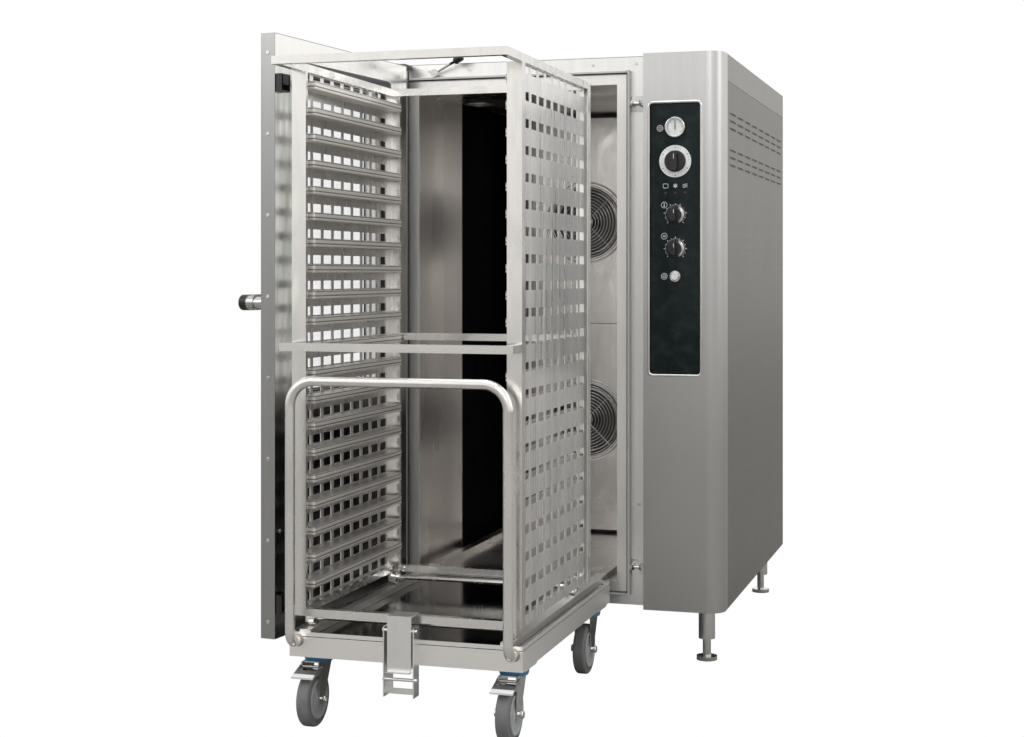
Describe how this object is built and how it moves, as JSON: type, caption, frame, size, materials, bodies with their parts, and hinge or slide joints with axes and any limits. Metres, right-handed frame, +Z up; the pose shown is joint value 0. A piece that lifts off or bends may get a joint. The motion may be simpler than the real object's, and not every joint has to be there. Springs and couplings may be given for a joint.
{
  "type": "roll-in convection oven",
  "caption": "Floor-standing roll-in convection oven with an open glazed door, a side control column, fans behind a baffle, and a tray rack on a docked transfer trolley.",
  "frame": {"origin": "middle of the footprint of the oven with its docked trolley, on the floor", "axes": "+Z up, +Y from the trolley into the oven, +X to the right seen from the doorway side"},
  "size_m": [1.1796, 2.325, 1.82],
  "materials": {
    "stainless": "brushed stainless steel sheet",
    "casing_grey": "brushed stainless steel sheet in its grey tone",
    "liner_steel": "polished stainless steel that reflects",
    "tube_steel": "satin stainless steel tube",
    "plated_steel": "bright zinc or nickel plating",
    "chrome_trim": "polished chrome",
    "black_plastic": "moulded black plastic, satin gloss",
    "blue_plastic": "moulded blue plastic",
    "white_plastic": "white dial and printed ring",
    "lamp_lens": "coloured translucent lens",
    "pane_glass": "clear toughened glass",
    "panel_glass": "dark glass printed on its back",
    "seal_rubber": "black silicone rubber",
    "wool": "mineral wool",
    "heater_steel": "heat-darkened sheath",
    "motor_paint": "dark grey paint",
    "wheel_tyre": "grey solid rubber on a grey rim",
    "pedal_metal": "bright pressed metal"
  },
  "bodies": {
    "oven": {"base_frame": "stainless", "legs": "plated_steel", "front_frame": "stainless", "cavity_flange": "stainless", "door_gasket": "seal_rubber", "cavity_liner": "liner_steel", "insulation": "wool", "baffle_panels": "liner_steel", "fan_guards": "chrome_trim", "heater_rings": "heater_steel", "fan_motors": "motor_paint", "side_panel_left": "casing_grey", "side_panel_right": "casing_grey", "rear_panel": "casing_grey", "top_cover": "stainless", "service_inlets": "plated_steel", "control_column": "stainless", "control_glass": "panel_glass", "indicator_lamps": "lamp_lens", "dial_plates": "white_plastic", "control_gear": "motor_paint", "vent_duct": "stainless", "cavity_lamps": "pane_glass", "casing_screws": "plated_steel", "latch_keepers": "plated_steel", "hinge_brackets": "plated_steel"},
    "fan_upper": {"fan_wheel_upper": "stainless"},
    "fan_lower": {"fan_wheel_lower": "stainless"},
    "gauge_needle": {"gauge_needle": "black_plastic"},
    "timer_knob": {"timer_knob": "black_plastic"},
    "temperature_knob": {"temperature_knob": "black_plastic"},
    "steam_knob": {"steam_knob": "black_plastic"},
    "start_button": {"start_button": "black_plastic"},
    "vent_lever": {"vent_lever": "plated_steel"},
    "door": {"door_shell": "stainless", "door_inner_panel": "liner_steel", "door_glazing": "pane_glass", "door_core": "wool", "door_screws": "plated_steel"},
    "door_handle": {"door_handle": "black_plastic"},
    "latch_rod": {"latch_rod": "black_plastic"},
    "trolley": {"trolley_base": "tube_steel", "push_handle": "tube_steel", "dock_bracket": "tube_steel"},
    "dock_lever": {"dock_lever": "tube_steel"},
    "rack": {"rack_frame": "tube_steel", "rack_side_panels": "stainless", "tray_ledges": "stainless"},
    "rack_wheels_front": {"rack_wheels_front": "tube_steel"},
    "rack_wheels_rear": {"rack_wheels_rear": "tube_steel"},
    "caster_front_left": {"caster_fork_front_left": "plated_steel"},
    "wheel_front_left": {"caster_wheel_front_left": "wheel_tyre"},
    "caster_front_right": {"caster_fork_front_right": "plated_steel"},
    "wheel_front_right": {"caster_wheel_front_right": "wheel_tyre"},
    "caster_rear_left": {"caster_fork_rear_left": "plated_steel"},
    "wheel_rear_left": {"caster_wheel_rear_left": "wheel_tyre"},
    "caster_rear_right": {"caster_fork_rear_right": "plated_steel"},
    "wheel_rear_right": {"caster_wheel_rear_right": "wheel_tyre"},
    "brake_front_left": {"brake_pedal_front_left": "pedal_metal"},
    "brake_front_right": {"brake_pedal_front_right": "pedal_metal"}
  },
  "joints": [
    {"name": "door_swing", "type": "hinge", "parent": "oven", "child": "door", "pos_m": [-0.40717, -0.1405, 0.97275], "axis": [0, 0, 1], "range_deg": [-84, 5]},
    {"name": "handle_turn", "type": "hinge", "parent": "door", "child": "door_handle", "pos_m": [-0.49073, -0.83554, 1.058], "axis": [0.9942, -0.108, 0], "range_deg": [0, 90]},
    {"name": "latch_lift", "type": "slide", "parent": "door", "child": "latch_rod", "axis": [0, 0, 1], "range_m": [0, 0.012]},
    {"name": "vent_lever_turn", "type": "hinge", "parent": "oven", "child": "vent_lever", "pos_m": [-0.29917, 0.3345, 1.744], "axis": [0, 1, 0], "range_deg": [-60, 24]},
    {"name": "fan_spin_upper", "type": "hinge", "parent": "oven", "child": "fan_upper", "pos_m": [-0.04217, 0.7675, 1.313], "axis": [0, 1, 0], "continuous": true},
    {"name": "fan_spin_lower", "type": "hinge", "parent": "oven", "child": "fan_lower", "pos_m": [-0.04217, 0.7675, 0.626], "axis": [0, 1, 0], "continuous": true},
    {"name": "timer_turn", "type": "hinge", "parent": "oven", "child": "timer_knob", "pos_m": [0.45033, -0.1395, 1.459], "axis": [0, -1, 0], "range_deg": [-300, 0]},
    {"name": "temperature_turn", "type": "hinge", "parent": "oven", "child": "temperature_knob", "pos_m": [0.45033, -0.1395, 1.305], "axis": [0, -1, 0], "range_deg": [-270, 0]},
    {"name": "steam_turn", "type": "hinge", "parent": "oven", "child": "steam_knob", "pos_m": [0.45033, -0.1395, 1.207], "axis": [0, -1, 0], "range_deg": [-270, 0]},
    {"name": "needle_turn", "type": "hinge", "parent": "oven", "child": "gauge_needle", "pos_m": [0.45033, -0.1395, 1.557], "axis": [0, -1, 0], "range_deg": [-130, 130]},
    {"name": "start_press", "type": "slide", "parent": "oven", "child": "start_button", "axis": [0, 1, 0], "range_m": [0, 0.004], "stiffness_N_per_m": 800, "springref_m": -0.002},
    {"name": "trolley_roll", "type": "slide", "parent": "oven", "child": "trolley", "axis": [0, -1, 0], "range_m": [0, 1]},
    {"name": "dock_lever_turn", "type": "hinge", "parent": "trolley", "child": "dock_lever", "pos_m": [-0.04217, -1.0725, 0.268], "axis": [1, 0, 0], "range_deg": [0, 8]},
    {"name": "rack_slide", "type": "slide", "parent": "trolley", "child": "rack", "axis": [0, 1, 0], "range_m": [0, 1.089]},
    {"name": "rack_wheels_front_spin", "type": "hinge", "parent": "rack", "child": "rack_wheels_front", "pos_m": [-0.04217, -0.9955, 0.2703], "axis": [1, 0, 0], "continuous": true},
    {"name": "rack_wheels_rear_spin", "type": "hinge", "parent": "rack", "child": "rack_wheels_rear", "pos_m": [-0.04217, -0.4215, 0.2703], "axis": [1, 0, 0], "continuous": true},
    {"name": "swivel_front_left", "type": "hinge", "parent": "trolley", "child": "caster_front_left", "pos_m": [-0.30017, -0.9685, 0.171], "axis": [0, 0, 1], "continuous": true},
    {"name": "roll_front_left", "type": "hinge", "parent": "caster_front_left", "child": "wheel_front_left", "pos_m": [-0.30017, -1.0085, 0.07], "axis": [1, 0, 0], "continuous": true},
    {"name": "brake_front_left_press", "type": "hinge", "parent": "caster_front_left", "child": "brake_front_left", "pos_m": [-0.30017, -1.017, 0.15], "axis": [1, 0, 0], "range_deg": [0, 14]},
    {"name": "swivel_front_right", "type": "hinge", "parent": "trolley", "child": "caster_front_right", "pos_m": [0.21583, -0.9685, 0.171], "axis": [0, 0, 1], "continuous": true},
    {"name": "roll_front_right", "type": "hinge", "parent": "caster_front_right", "child": "wheel_front_right", "pos_m": [0.21583, -1.0085, 0.07], "axis": [1, 0, 0], "continuous": true},
    {"name": "brake_front_right_press", "type": "hinge", "parent": "caster_front_right", "child": "brake_front_right", "pos_m": [0.21583, -1.017, 0.15], "axis": [1, 0, 0], "range_deg": [0, 14]},
    {"name": "swivel_rear_left", "type": "hinge", "parent": "trolley", "child": "caster_rear_left", "pos_m": [-0.30017, -0.2435, 0.171], "axis": [0, 0, 1], "continuous": true},
    {"name": "roll_rear_left", "type": "hinge", "parent": "caster_rear_left", "child": "wheel_rear_left", "pos_m": [-0.30017, -0.2835, 0.07], "axis": [1, 0, 0], "continuous": true},
    {"name": "swivel_rear_right", "type": "hinge", "parent": "trolley", "child": "caster_rear_right", "pos_m": [0.21583, -0.2435, 0.171], "axis": [0, 0, 1], "continuous": true},
    {"name": "roll_rear_right", "type": "hinge", "parent": "caster_rear_right", "child": "wheel_rear_right", "pos_m": [0.21583, -0.2835, 0.07], "axis": [1, 0, 0], "continuous": true}
  ],
  "couplings": [
    {"joint": "latch_lift", "follows": "handle_turn", "m_per_rad": 0.0076394}
  ]
}
